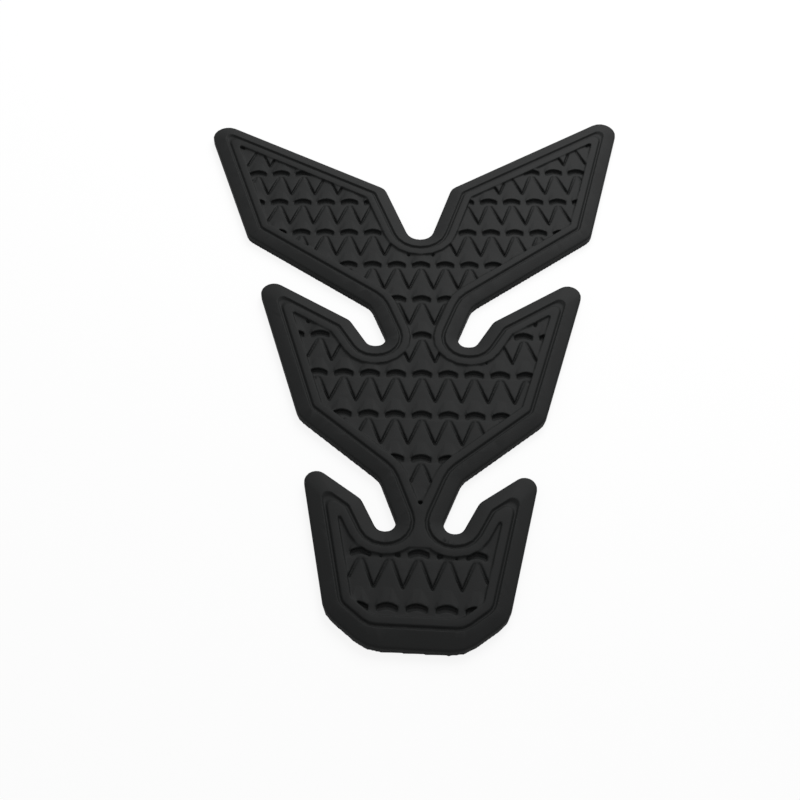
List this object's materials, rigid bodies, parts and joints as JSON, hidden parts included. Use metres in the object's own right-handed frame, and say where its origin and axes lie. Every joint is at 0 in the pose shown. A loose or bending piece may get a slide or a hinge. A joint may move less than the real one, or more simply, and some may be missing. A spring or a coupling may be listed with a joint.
{
  "type": "motorcycle tank pad",
  "caption": "Flat black moulded rubber tank protector: a spine with paired swept wings, a bevelled border, a groove and a raised relief of scales and teeth.",
  "frame": {"origin": "middle of the pad's bounding box at the glued underside", "axes": "+Z away from the tank, +Y up the pad from the narrow foot to the wide wings, +X to the right seen from above"},
  "size_m": [0.1462, 0.206, 0.0038],
  "materials": {
    "rubber": "black moulded rubber, matt with a faint sheen"
  },
  "bodies": {
    "root": {"tank_pad": "rubber"}
  },
  "joints": []
}
